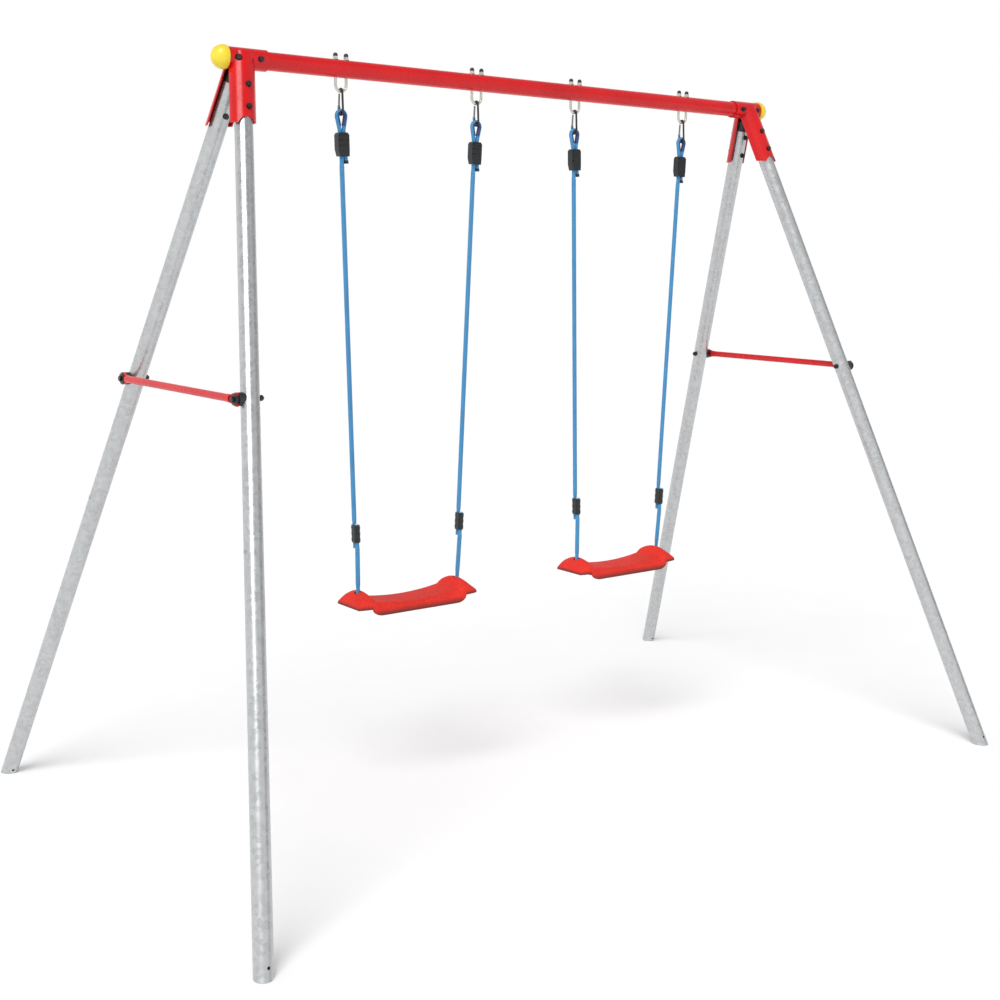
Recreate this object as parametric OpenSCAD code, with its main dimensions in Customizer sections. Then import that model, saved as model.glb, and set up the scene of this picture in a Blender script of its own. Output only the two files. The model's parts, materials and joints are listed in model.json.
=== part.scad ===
// Double swing set: a red beam on two splayed tube A-frames, with two rope swings.
// Units are millimetres, +Z is up, X runs along the beam and -Y is the front.
// The origin is on the ground, below the middle of the beam.

/* [Frame] */
// Height of the beam's centreline
beam_h = 2100; // [2000:10:2200]
// Length of the beam tube
beam_len = 2000; // [1980:1:2010]
// Outer diameter of the beam and leg tubes
tube_d = 48; // [46:0.5:48]
// Wall thickness of the beam and leg tubes
tube_wall = 2; // [1.5:0.1:2.5]
// Distance from the middle to the leg axes where they meet at the beam
top_x = 954; // [950:1:956]
// Distance from the middle to the feet, along the beam
foot_x = 1365; // [1300:5:1420]
// Distance from the middle to the feet, front and back
foot_y = 810; // [760:5:860]
// Height of the side braces
brace_z = 1250; // [1000:10:1400]
// Distance along a leg from its apex to the joint between its two sections
joint_s = 1366; // [1250:1:1450]

/* [Beam brackets] */
// Thickness of the bracket steel
bracket_t = 3.5; // [3:0.5:3.5]
// Outer radius of the bracket's leg channel
channel_r = 36; // [35:0.5:37]
// Height of the brackets' lower edge
bracket_low = 1931; // [1920:1:1950]

/* [Swings] */
// Distance from the middle of the beam to the middle of each swing
swing_x = 422; // [410:1:440]
// Distance between the two hangers of a swing
hanger_pitch = 464; // [440:2:480]
// Drop from the beam's centreline to the axis that the hooks turn on
hang_drop = 60; // [58:1:64]
// Diameter of the rope
rope_d = 12; // [11:0.5:12]
// Height of the seat's rope knots, which the seat tilts on
knot_z = 603; // [500:1:700]

/* [Seat] */
// Length of the seat
seat_len = 424; // [416:1:430]
// Depth of the seat, front to back
seat_depth = 136; // [126:1:140]
// Distance between the seat's two rope holes
seat_pitch = 356; // [350:1:360]
// Wall thickness of the moulded seat
seat_wall = 4; // [3.5:0.1:4]

/* [Hidden] */
$fn = 48;
big = 3000;
tube_r = tube_d / 2;
bore_r = tube_r - tube_wall;
m8_r = 4;
m8_hole_r = 4.2;
hex_r = 7.5;
washer_r = 8;
washer_t = 1.6;
nut_h = 6.5;
head_h = 5.3;

// Legs: the front and rear axes of a side cross this far above the beam's centreline
apex_rise = 17;
apex_z = beam_h + apex_rise;
leg_run = foot_x - top_x;
leg_len = norm([leg_run, foot_y, apex_z]);
leg_pitch = asin(foot_y / leg_len);
leg_splay = atan2(leg_run, apex_z);
leg_top_s = 84;
plug_top_s = 50;
plug_r = bore_r - 0.15;
spigot_len = 80;
spigot_r = bore_r - 0.15;
joint_screw_s = joint_s - 36;
anchor_s = leg_len - 22;
anchor_r = 4;
leg_bolt_s = [105, 168];

// Beam ends
ball_r = 31.5;
ball_out = 10;
sleeve_out = 3;
sleeve_in_x = 887;
beam_bolt_x = [beam_len / 2 - 19, beam_len / 2 - 86];
channel_back = 8;
spot_r = 9.6;
spot_depth = 0.15;
channel_top_s = 12;
bracket_gap = 0.3;
arch_r = 26;
arch_rise = 8;

// Side braces, on the outer side of the legs
brace_frac = (apex_z - brace_z) / apex_z;
brace_leg_x = top_x + leg_run * brace_frac;
brace_leg_y = foot_y * brace_frac;
brace_tube_r = 10;
brace_tube_wall = 1.5;
brace_x = brace_leg_x + tube_r + 15;
fork_t = 6;
fork_h = 35;
hub_r = 12;
hub_flange_r = 15;
brace_head_x = brace_x + fork_t / 2 + 3.5;

// Hangers: a U-bolt through the beam, a snap hook, a thimble and a rope eye
pivot_z = beam_h - hang_drop;
u_rod_r = 4;
u_bend_r = 17;
u_tip_rise = 38;
cap_top = 42;
hook_r = 3;
hook_gap = 0.6;
hook_drop = 51;
hook_top_r = u_rod_r + hook_gap + hook_r;
rope_r = rope_d / 2;
thimble_t = 1.4;
hook_low_r = rope_r + thimble_t + hook_gap + hook_r;
hook_taper = asin((hook_low_r - hook_top_r) / hook_drop);
gate_r = 2.6;
gate_pivot_s = 7;
gate_tip_s = 5.5;
gate_tongue = 2.4;
gate_cheek = 1.3;
gate_eye_r = 3.4;
rivet_r = 1.2;

// Ropes, in a frame whose origin is on the hook's lower bend and whose -Z runs to the seat's knot
eye_z = pivot_z - hook_drop;
rope_lean = atan2((hanger_pitch - seat_pitch) / 2, eye_z - knot_z);
rope_len = norm([(hanger_pitch - seat_pitch) / 2, eye_z - knot_z]);
eye_r = 14;
strand_x = rope_r + 0.2;
eye_foot = 51.4;
eye_dist = norm([strand_x, eye_foot - eye_r]);
eye_conv = asin(eye_r / eye_dist) - atan2(strand_x, eye_foot - eye_r);
thimble_tail = 24;
adjuster_top = 58;
adjuster_low = 122;
adjuster_w = 36;
adjuster_t = 21;
clamp_top = rope_len - 226;
clamp_low = clamp_top + 51;
tail_len = 18;
channel_fit = 0.15;
knot_r = 12;
knot_tail = 22;

// Seat: heights are above the knots
seat_mid = -10;
seat_mid_rise = 12;
seat_ridge = 29;
seat_tip = -4;
seat_floor = -37;
seat_flat_x = 140;
seat_ridge_x = 172;
seat_arch = 20;
seat_arch_mid = 2;
seat_round_mid = 21;
seat_round_tip = 7;
seat_flap = -16;
seat_skirt_x = 132;
seat_flap_x = 168;
seat_tip_narrow = 10;
seat_panel_x = 122;
seat_stations = 22;
seat_hole_r = 11;
boss_r = 18;
boss_low = 2;
rib_t = 4;

// ---- Placement ----

// Draws its children, made for the front left corner, at the named corner
module corner(side, end) {
    mirror([side == "right" ? 1 : 0, 0, 0])
        mirror([0, end == "rear" ? 1 : 0, 0])
            children();
}

module every_corner() {
    for (side = ["left", "right"], end = ["front", "rear"])
        corner(side, end) children();
}

// Front left leg's frame: +Z runs up the leg to its apex, -Y faces outwards
module along_leg(s = 0) {
    translate([-top_x, 0, apex_z])
        rotate([-leg_pitch, leg_splay, 0])
            translate([0, 0, -s])
                children();
}

// Turns a drawing of the Y-Z plane, extruded along X
module in_yz() {
    rotate([90, 0, 90]) children();
}

function swing_side(i) = i < 3 ? -1 : 1;
function hanger_side(i) = i % 2 == 1 ? -1 : 1;
function hanger_x(i) = swing_side(i) * swing_x + hanger_side(i) * hanger_pitch / 2;

module at_hanger(i, z) {
    translate([hanger_x(i), 0, z]) children();
}

// Rope frame of hanger i: -Z runs down the rope, towards the seat
module along_rope(i) {
    at_hanger(i, eye_z)
        rotate([0, hanger_side(i) * rope_lean, 0])
            children();
}

// A round bar from p to q
module bar(p, q, r) {
    v = q - p;
    translate(p)
        rotate([0, acos(v[2] / norm(v)), atan2(v[1], v[0])])
            cylinder(h = norm(v), r = r);
}

module ball(p, r) {
    translate(p) sphere(r = r);
}

// A barely swollen knuckle where two round bars of radius r meet
module knuckle(p, r) {
    ball(p, r + 0.05);
}

module beam_solid(r) {
    rotate([0, 90, 0]) cylinder(h = beam_len, r = r, center = true);
}

// ---- Fasteners ----

// Hex bolt along -Z, with its head's seat at the origin
module hex_bolt(length) {
    cylinder(h = head_h + washer_t, r = m8_r);
    cylinder(h = washer_t, r = washer_r);
    translate([0, 0, washer_t]) cylinder(h = head_h, r = hex_r, $fn = 6);
    translate([0, 0, -length]) cylinder(h = length, r = m8_r);
}

// Hex nut on a washer along -Z, with its seat at the origin
module hex_nut() {
    difference() {
        union() {
            translate([0, 0, -washer_t]) cylinder(h = washer_t, r = washer_r);
            translate([0, 0, -washer_t - nut_h]) cylinder(h = nut_h, r = hex_r, $fn = 6);
        }
        translate([0, 0, -washer_t - nut_h - 1]) cylinder(h = nut_h + washer_t + 2, r = m8_r + 0.02);
    }
}

module at_beam_bolts(side) {
    corner(side, "front")
        for (x = beam_bolt_x)
            translate([-x, 0, beam_h]) children();
}

module at_leg_bolts() {
    every_corner()
        for (s = leg_bolt_s)
            along_leg(s) children();
}

sleeve_r = tube_r + bracket_gap + bracket_t;
channel_apex = channel_r - channel_back;
beam_bolt_len = 2 * sleeve_r + washer_t + nut_h + 3;
leg_bolt_len = channel_apex + tube_r + washer_t + nut_h + 3;

module frame_bolts() {
    color("#1c1d20") {
        for (side = ["left", "right"])
            at_beam_bolts(side)
                translate([0, -sleeve_r, 0]) rotate([90, 0, 0]) hex_bolt(beam_bolt_len);
        at_leg_bolts()
            translate([0, -channel_apex, 0]) rotate([90, 0, 0]) hex_bolt(leg_bolt_len);
    }
}

module frame_nuts() {
    color("#1c1d20") {
        for (side = ["left", "right"])
            at_beam_bolts(side)
                translate([0, sleeve_r, 0]) rotate([90, 0, 0]) hex_nut();
        at_leg_bolts()
            translate([0, tube_r, 0]) rotate([90, 0, 0]) hex_nut();
    }
}

// ---- Beam ----

module top_beam() {
    color("#cf2026")
        difference() {
            translate([0, 0, beam_h]) beam_solid(tube_r);
            translate([0, 0, beam_h]) rotate([0, 90, 0]) cylinder(h = beam_len + 2, r = bore_r, center = true);
            for (side = ["left", "right"])
                at_beam_bolts(side) rotate([90, 0, 0]) cylinder(h = 2 * tube_d, r = m8_hole_r, center = true);
            for (i = [1 : 4], d = [-u_bend_r, u_bend_r])
                at_hanger(i, beam_h) translate([d, 0, 0]) cylinder(h = 2 * tube_d, r = m8_hole_r, center = true);
        }
}

// A ball with a stem that plugs the beam's end
module ball_cap(side) {
    flat_x = beam_len / 2 + sleeve_out + 0.5;
    color("#efe04a")
        corner(side, "front")
            translate([0, 0, beam_h]) {
                difference() {
                    ball([-beam_len / 2 - ball_out, 0, 0], ball_r);
                    translate([-flat_x, -tube_d, -tube_d]) cube([tube_d, 2 * tube_d, 2 * tube_d]);
                }
                translate([-flat_x - 1, 0, 0]) rotate([0, 90, 0]) cylinder(h = 14, r = plug_r);
            }
}

// ---- Brackets ----

// The leg channel's section filled in: a half round back, and sides as far as the channel's mouth
module channel_section(r) {
    intersection() {
        translate([0, channel_back]) circle(r = r);
        translate([-r - 1, channel_back - r - 1]) square([2 * r + 2, r + 1]);
    }
}

// Everything behind the plane that parts the front bracket from the rear one
module behind_parting() {
    translate([-big / 2, -bracket_gap, 0]) cube([big, big, big]);
}

// Half a sleeve over the beam, and a round-backed channel over the leg's outer side
module bracket(side, end) {
    color("#cf2026")
        corner(side, end)
            difference() {
                union() {
                    translate([-beam_len / 2 - sleeve_out, 0, beam_h])
                        rotate([0, 90, 0]) cylinder(h = beam_len / 2 + sleeve_out - sleeve_in_x, r = sleeve_r);
                    along_leg(leg_len / 8)
                        linear_extrude(height = leg_len / 8 - channel_top_s) channel_section(channel_r);
                }
                translate([0, 0, beam_h])
                    rotate([0, 90, 0]) cylinder(h = beam_len + 50, r = tube_r + bracket_gap, center = true);
                along_leg(leg_len / 4)
                    linear_extrude(height = leg_len / 4 - channel_top_s - bracket_t)
                        channel_section(channel_r - bracket_t);
                behind_parting();
                translate([-big / 2, -big / 2, bracket_low - big]) cube([big, big, big]);
                along_leg((apex_z - bracket_low) / apex_z * leg_len)
                    translate([0, 0, arch_rise - arch_r])
                        rotate([90, 0, 0]) cylinder(h = 4 * tube_d, r = arch_r, center = true);
                at_beam_bolts("left") {
                    rotate([90, 0, 0]) cylinder(h = 3 * tube_d, r = m8_hole_r, center = true);
                    translate([0, spot_depth - sleeve_r, 0]) rotate([90, 0, 0]) cylinder(h = tube_d, r = spot_r);
                }
                for (s = leg_bolt_s)
                    along_leg(s) rotate([90, 0, 0]) cylinder(h = 3 * tube_d, r = m8_hole_r, center = true);
            }
}

// ---- Legs ----

module joint_screw_hole() {
    along_leg(joint_screw_s)
        rotate([0, -90, 0]) cylinder(h = 2 * tube_r, r = 3);
}

module upper_leg(side, end) {
    color("#b4b9ba")
        corner(side, end)
            difference() {
                along_leg(joint_s) cylinder(h = joint_s - leg_top_s, r = tube_r);
                along_leg(joint_s + 1) cylinder(h = joint_s - leg_top_s + 2, r = bore_r);
                for (s = leg_bolt_s)
                    along_leg(s) rotate([90, 0, 0]) cylinder(h = 2 * tube_d, r = m8_hole_r, center = true);
                translate([-brace_leg_x, -brace_leg_y, brace_z])
                    rotate([0, 90, 0]) cylinder(h = 2 * tube_d, r = m8_hole_r, center = true);
                joint_screw_hole();
            }
}

// The lower section has a necked end that slides up into the upper section
module lower_leg(side, end) {
    color("#b4b9ba")
        corner(side, end)
            difference() {
                union() {
                    along_leg(leg_len + tube_d) cylinder(h = leg_len + tube_d - joint_s - 0.2, r = tube_r);
                    along_leg(joint_s + 1) cylinder(h = spigot_len + 1, r = spigot_r);
                }
                along_leg(leg_len + tube_d + 1)
                    cylinder(h = leg_len + tube_d - joint_s + spigot_len + 2, r = spigot_r - tube_wall);
                translate([-big / 2, -big / 2, -big]) cube([big, big, big]);
                along_leg(anchor_s) rotate([90, 0, 0]) cylinder(h = 2 * tube_d, r = anchor_r, center = true);
                joint_screw_hole();
            }
}

// A black plug in the top of each leg tube, hollowed where the beam lies on it
module leg_top_plugs() {
    color("#1c1d20")
        every_corner()
            difference() {
                union() {
                    along_leg(leg_top_s) cylinder(h = leg_top_s - plug_top_s, r = tube_r - 0.2);
                    along_leg(leg_top_s + 9) cylinder(h = 10, r = plug_r);
                }
                translate([0, 0, beam_h])
                    rotate([0, 90, 0]) cylinder(h = beam_len + 50, r = tube_r + bracket_gap, center = true);
                behind_parting();
            }
}

module leg_joint_screws() {
    shank = 8;
    color("#8d9294")
        every_corner()
            along_leg(joint_screw_s)
                rotate([0, -90, 0]) {
                    translate([0, 0, tube_r - shank]) cylinder(h = shank + 1, r = 2.9);
                    translate([0, 0, tube_r])
                        intersection() {
                            cylinder(h = 3, r = 6);
                            translate([0, 0, -5]) sphere(r = 8);
                        }
                }
}

// ---- Side braces ----

// Forked end of a brace in the Y-Z plane, round a hub at the origin; +X runs to the brace's middle
module fork_section() {
    flare_x = 22;
    shank_x = 42;
    mouth = 7;
    difference() {
        polygon([
            [-8, -fork_h / 2], [-3, -fork_h / 2], [flare_x, -brace_tube_r - 1], [shank_x, -brace_tube_r],
            [shank_x, brace_tube_r], [flare_x, brace_tube_r + 1], [-3, fork_h / 2], [-8, fork_h / 2]
        ]);
        circle(r = hub_r + 0.2);
        translate([-20, -mouth]) square([20, 2 * mouth]);
    }
}

module brace(side) {
    reach = brace_leg_y - 24;
    color("#cf2026")
        corner(side, "front")
            translate([-brace_x, 0, brace_z])
                difference() {
                    union() {
                        rotate([90, 0, 0]) cylinder(h = 2 * reach, r = brace_tube_r, center = true);
                        for (end = [-1, 1])
                            translate([-fork_t / 2, end * brace_leg_y, 0])
                                in_yz()
                                    mirror([end > 0 ? 1 : 0, 0, 0])
                                        linear_extrude(height = fork_t) fork_section();
                    }
                    rotate([90, 0, 0])
                        cylinder(h = 2 * reach - 2 * fork_t, r = brace_tube_r - brace_tube_wall, center = true);
                }
}

module at_braces() {
    every_corner()
        translate([-brace_leg_x, -brace_leg_y, brace_z])
            children();
}

// A black hub that stands the brace's fork off the leg and holds it under a flange
module brace_hubs() {
    flange_x = brace_x - brace_leg_x + fork_t / 2 + 0.2;
    seat_x = brace_x - brace_leg_x - fork_t / 2 - 0.2;
    color("#1c1d20")
        every_corner()
            difference() {
                translate([-brace_leg_x, -brace_leg_y, brace_z])
                    rotate([0, -90, 0]) {
                        cylinder(h = brace_head_x - brace_leg_x, r = hub_r);
                        cylinder(h = seat_x, r = hub_flange_r + 2);
                        translate([0, 0, flange_x])
                            cylinder(h = brace_head_x - brace_leg_x - flange_x, r = hub_flange_r);
                    }
                along_leg(leg_len) cylinder(h = leg_len, r = tube_r + 0.1);
                translate([-brace_leg_x, -brace_leg_y, brace_z])
                    rotate([0, 90, 0]) cylinder(h = 4 * tube_d, r = m8_hole_r, center = true);
            }
}

// Length along X from a leg's axis to its skin on the inner side
brace_nut_x = tube_r / cos(leg_splay) + 1.2;

module brace_bolts() {
    length = brace_head_x - brace_leg_x + brace_nut_x + washer_t + nut_h + 3;
    color("#1c1d20")
        at_braces()
            translate([brace_leg_x - brace_head_x, 0, 0]) rotate([0, -90, 0]) hex_bolt(length);
}

module brace_nuts() {
    color("#1c1d20")
        at_braces()
            translate([brace_nut_x, 0, 0]) rotate([0, -90, 0]) hex_nut();
}

// ---- Hangers ----

module u_bolt(i) {
    bend_z = u_bend_r;
    color("#cfcbb8")
        at_hanger(i, pivot_z) {
            translate([0, 0, bend_z])
                rotate([-90, 0, 0])
                    rotate_extrude(angle = 180) translate([u_bend_r, 0]) circle(r = u_rod_r);
            for (d = [-u_bend_r, u_bend_r]) {
                knuckle([d, 0, bend_z], u_rod_r);
                translate([d, 0, bend_z]) cylinder(h = hang_drop - bend_z + u_tip_rise, r = u_rod_r);
            }
        }
}

module at_u_tips() {
    for (i = [1 : 4], d = [-u_bend_r, u_bend_r])
        at_hanger(i, beam_h + tube_r) translate([d, 0, 0]) children();
}

module u_bolt_washers() {
    color("#cfcbb8")
        at_u_tips()
            difference() {
                cylinder(h = washer_t, r = washer_r);
                translate([0, 0, -1]) cylinder(h = washer_t + 2, r = u_rod_r + 0.1);
            }
}

module u_bolt_nuts() {
    color("#cfcbb8")
        at_u_tips()
            difference() {
                translate([0, 0, washer_t]) cylinder(h = nut_h, r = hex_r, $fn = 6);
                cylinder(h = nut_h + 5, r = u_rod_r + 0.02);
            }
}

// Domed caps over the ends of the U-bolts
module u_bolt_caps() {
    cap_r = 6.5;
    cap_low = washer_t + nut_h + 0.1;
    cap_h = cap_top - tube_r - cap_low;
    color("#1c1d20")
        at_u_tips()
            difference() {
                union() {
                    translate([0, 0, cap_low]) cylinder(h = cap_h - cap_r, r = cap_r);
                    translate([0, 0, cap_low + cap_h - cap_r]) sphere(r = cap_r);
                }
                translate([0, 0, cap_low - cap_r - 1]) cylinder(h = cap_r + 1, r = cap_r + 1);
                cylinder(h = u_tip_rise - tube_r + 0.2, r = u_rod_r + 0.05);
            }
}

// ---- Snap hooks ----

hook_side_len = hook_drop * cos(hook_taper);

// Point of the hook's rear side, s up from where its straight leaves the lower bend
function hook_side(s) = [
    hook_low_r * cos(hook_taper) - s * sin(hook_taper),
    -hook_drop + hook_low_r * sin(hook_taper) + s * cos(hook_taper)
];

gate_pivot = hook_side(gate_pivot_s);

module hook_bend(r, from, to) {
    rotate([0, 0, from])
        rotate_extrude(angle = to - from) translate([r, 0]) circle(r = hook_r);
}

// A straight bar of the hook or its gate, in the plane of the hook
module hook_bar(p, q, r) {
    bar([p[0], p[1], 0], [q[0], q[1], 0], r);
}

module hook(i) {
    nose = 2.5;
    stub = gate_pivot_s - gate_eye_r - 0.5;
    front_low = [-hook_side(0)[0], hook_side(0)[1]];
    front_top = [-hook_side(hook_side_len)[0], hook_side(hook_side_len)[1]];
    color("#232529")
        at_hanger(i, pivot_z)
            in_yz()
                difference() {
                    union() {
                        hook_bend(hook_top_r, hook_taper, 180 - hook_taper);
                        translate([0, -hook_drop]) hook_bend(hook_low_r, 180 - hook_taper, 360 + hook_taper);
                        hook_bar(front_low, front_top, hook_r);
                        hook_bar(hook_side(hook_side_len - nose), hook_side(hook_side_len), hook_r);
                        hook_bar(hook_side(0), hook_side(stub), hook_r);
                        for (p = [front_low, front_top, hook_side(hook_side_len), hook_side(0)])
                            knuckle([p[0], p[1], 0], hook_r);
                        translate([0, 0, -gate_tongue / 2])
                            linear_extrude(height = gate_tongue)
                                hull() {
                                    translate(gate_pivot) circle(r = gate_eye_r - 0.3);
                                    translate(hook_side(1)) circle(r = gate_eye_r - 0.6);
                                }
                    }
                    translate([gate_pivot[0], gate_pivot[1], -5]) cylinder(h = 10, r = rivet_r + 0.02);
                }
}

// The gate closes the rear side of the hook and swings inwards on its rivet
module gate(i) {
    inner = gate_tongue / 2 + 0.3;
    root = gate_pivot_s + gate_eye_r + 0.8;
    color("#6f7478")
        at_hanger(i, pivot_z)
            in_yz()
                difference() {
                    union() {
                        hook_bar(hook_side(root), hook_side(hook_side_len - gate_tip_s), gate_r);
                        translate([0, 0, -inner - gate_cheek])
                            linear_extrude(height = 2 * (inner + gate_cheek))
                                hull() {
                                    translate(gate_pivot) circle(r = gate_eye_r);
                                    translate(hook_side(root + 1)) circle(r = gate_r);
                                }
                    }
                    translate([0, 0, -inner])
                        linear_extrude(height = 2 * inner)
                            hull() {
                                translate(hook_side(0)) circle(r = gate_eye_r + 0.3);
                                translate(gate_pivot) circle(r = gate_eye_r + 0.3);
                            }
                    translate([gate_pivot[0], gate_pivot[1], -5]) cylinder(h = 10, r = rivet_r + 0.06);
                }
}

module gate_rivets(side) {
    cheek_x = gate_tongue / 2 + 0.3 + gate_cheek + 0.3;
    color("#8d9294")
        for (i = [1 : 4])
            if (swing_side(i) == side)
                at_hanger(i, pivot_z)
                    in_yz()
                        translate([gate_pivot[0], gate_pivot[1], 0]) {
                            cylinder(h = 2 * cheek_x + 1, r = rivet_r, center = true);
                            for (m = [0, 1])
                                mirror([0, 0, m]) translate([0, 0, cheek_x]) cylinder(h = 0.8, r = 2);
                        }
}

// ---- Ropes ----

// Where the eye's arc turns into its converging legs, on the +X side
eye_tangent = [eye_r * cos(eye_conv), 0, -eye_r - eye_r * sin(eye_conv)];
eye_throat = [strand_x, 0, -eye_foot];
function flip(p) = [-p[0], p[1], p[2]];

// Groove of the thimble, beside a rope at the origin, thinned by slim on both faces
module groove_section(slim = 0) {
    intersection() {
        difference() {
            circle(r = rope_r + thimble_t - slim);
            circle(r = rope_r + 0.05 + slim);
        }
        translate([-2 * rope_r, -2 * rope_r]) square([2 * rope_r - 0.5, 4 * rope_r]);
    }
}

module thimbles(side) {
    color("#2f3f74")
        for (i = [1 : 4])
            if (swing_side(i) == side)
                along_rope(i) {
                    translate([0, 0, -eye_r])
                        rotate([90, 0, 0])
                            rotate([0, 0, -eye_conv])
                                rotate_extrude(angle = 180 + 2 * eye_conv)
                                    translate([eye_r, 0]) groove_section();
                    for (m = [0, 1])
                        mirror([m, 0, 0])
                            translate(eye_tangent)
                                rotate([0, eye_conv, 0])
                                    translate([0, 0, -thimble_tail])
                                        linear_extrude(height = thimble_tail + 1) groove_section(0.1);
                }
}

clamp_rear = [0, strand_x, -clamp_low];
clamp_front = [0, -strand_x, -clamp_low - rope_r - 0.5];
adjuster_exit = [-3.2, 0, -adjuster_low - rope_r - 0.5];
main_dir = (clamp_rear - adjuster_exit) / norm(clamp_rear - adjuster_exit);
eye_end = [strand_x + 4.6, 0, -adjuster_low - 18];

// Main rope: its short end, the eye on the thimble, the adjuster, and a tail below the clamp
module upper_rope(i) {
    color("#3f86c4")
        along_rope(i) {
            translate([0, 0, -eye_r])
                rotate([90, 0, 0])
                    rotate([0, 0, -eye_conv])
                        rotate_extrude(angle = 180 + 2 * eye_conv) translate([eye_r, 0]) circle(r = rope_r);
            bar(eye_throat, eye_tangent, rope_r);
            bar(flip(eye_throat), flip(eye_tangent), rope_r);
            for (p = [eye_tangent, flip(eye_tangent), eye_throat, flip(eye_throat), adjuster_exit])
                knuckle(p, rope_r);
            bar(eye_throat, eye_end, rope_r);
            bar(flip(eye_throat), adjuster_exit, rope_r);
            bar(adjuster_exit, clamp_rear + tail_len * main_dir, rope_r);
        }
}

knot = [0, 0, -rope_len];

// Seat rope: from its cut end in the clamp down to the knot under the seat
module lower_rope(i) {
    top = [0, -strand_x, -clamp_top + 2];
    color("#3f86c4")
        along_rope(i) {
            bar(clamp_front, top, rope_r);
            knuckle(clamp_front, rope_r);
            bar(knot, clamp_front, rope_r);
            ball(knot, knot_r);
            bar(knot + [0, 0, -knot_tail], knot, rope_r);
        }
}

// Three-bar rope adjuster with two rope channels, and a cap on the rope's short end
module rope_adjusters(side) {
    shoulder = 18;
    bar_r = 2.2;
    tail_dir = (eye_end - eye_throat) / norm(eye_end - eye_throat);
    color("#1d2426")
        for (i = [1 : 4])
            if (swing_side(i) == side)
                along_rope(i) {
                    difference() {
                        bar(eye_end - 7 * tail_dir, eye_end + 1.5 * tail_dir, rope_r + 1.2);
                        bar(eye_end - 8 * tail_dir, eye_end, rope_r + 0.05);
                    }
                    difference() {
                        union() {
                            translate([0, adjuster_t / 2, 0])
                                rotate([90, 0, 0])
                                    linear_extrude(height = adjuster_t)
                                        polygon([
                                            [-13, -adjuster_top], [13, -adjuster_top],
                                            [adjuster_w / 2, -adjuster_top - 6],
                                            [adjuster_w / 2, -adjuster_low + shoulder],
                                            [17, -adjuster_low], [-13, -adjuster_low],
                                            [-adjuster_w / 2, -adjuster_low + shoulder],
                                            [-adjuster_w / 2, -adjuster_top - 6]
                                        ]);
                            for (k = [0 : 2], y = [-1, 1])
                                translate([0, y * adjuster_t / 2, -adjuster_top - 7 - 14 * k])
                                    rotate([0, 90, 0]) cylinder(h = adjuster_w - 8, r = bar_r, center = true);
                        }
                        bar(flip(eye_throat), adjuster_exit, rope_r + channel_fit);
                        bar(eye_throat, eye_end, rope_r + channel_fit);
                    }
                }
}

// Moulded clamp that holds the ends of the two ropes side by side
module rope_clamp(i) {
    wall = 3.2;
    half_x = rope_r + wall;
    color("#1d2426")
        along_rope(i)
            difference() {
                translate([0, 0, -clamp_low])
                    union() {
                        for (y = [-strand_x, strand_x])
                            translate([0, y, 0]) cylinder(h = clamp_low - clamp_top, r = half_x);
                        translate([-half_x, -strand_x, 0])
                            cube([2 * half_x, 2 * strand_x, clamp_low - clamp_top]);
                        for (z = [8, 25.5, 43], y = [-strand_x, strand_x])
                            translate([0, y, z - 2]) cylinder(h = 4, r = half_x + 0.9);
                    }
                bar(clamp_rear - (clamp_low - clamp_top + 4) * main_dir, clamp_rear + 4 * main_dir,
                    rope_r + channel_fit);
                bar(clamp_front, [0, -strand_x, -clamp_top + 1], rope_r + channel_fit);
            }
}

// ---- Seats ----

// How far x is up the seat's raised ends: 0 on the middle, 1 on the ridge, 0 at the tip
function seat_raised(a) =
    a < seat_flat_x ? 0
    : a < seat_ridge_x ? (1 - cos(180 * (a - seat_flat_x) / (seat_ridge_x - seat_flat_x))) / 2
    : 1 - pow((a - seat_ridge_x) / (seat_len / 2 - seat_ridge_x), 1.6);

// Height of the seat's top on its centreline, a from its middle
function seat_top(a) =
    let(low = a < seat_ridge_x ? seat_mid + seat_mid_rise * pow(min(a, seat_flat_x) / seat_flat_x, 2) : seat_tip)
    low + (seat_ridge - low) * seat_raised(a);

// How far the top's edges lie below its centreline
function seat_drop(a) = seat_arch_mid + (seat_arch - seat_arch_mid) * seat_raised(a);

// Radius that the top rolls over with at its front and back
function seat_round(a) =
    seat_round_mid + (seat_round_tip - seat_round_mid) * min(1, max(0, (a - seat_flat_x) / 25));

// Half the seat's depth, which narrows at the tips
function seat_half(a) =
    seat_depth / 2 - seat_tip_narrow * pow(max(0, a - seat_flat_x) / (seat_len / 2 - seat_flat_x), 2);

// Height of the seat's lower rim: a deep skirt along the middle, a thin flap at the ends
function seat_rim(a) =
    let(run = (a - seat_skirt_x) / (seat_flap_x - seat_skirt_x))
    a < seat_skirt_x ? seat_floor
    : a < seat_flap_x ? seat_floor + (seat_flap - seat_floor) * (1 - sqrt(1 - run * run))
    : seat_flap;

// Section across the seat at x, inset by t from its outside, with its foot at the rim or at low
function seat_section(x, t, low) =
    let(a = abs(x), h = seat_half(a), r = seat_round(a), foot = low < seat_floor ? low : seat_rim(a))
    concat(
        [[x, t - h, foot]],
        [for (u = [-90 : 10 : 90])
            let(y = h * sin(u), over = max(0, abs(y) - h + r))
            [x, y * (h - t) / h, seat_top(a) - t - seat_drop(a) * sin(u) * sin(u) - r + sqrt(r * r - over * over)]],
        [[x, h - t, foot]]
    );

// A lofted block of the seat's shape, inset by t, to the given half length
module seat_block(half_len, t, low) {
    n = seat_stations;
    loft([for (k = [-n : n]) seat_section(sign(k) * half_len * pow(abs(k) / n, 0.7), t, low)]);
}

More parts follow.
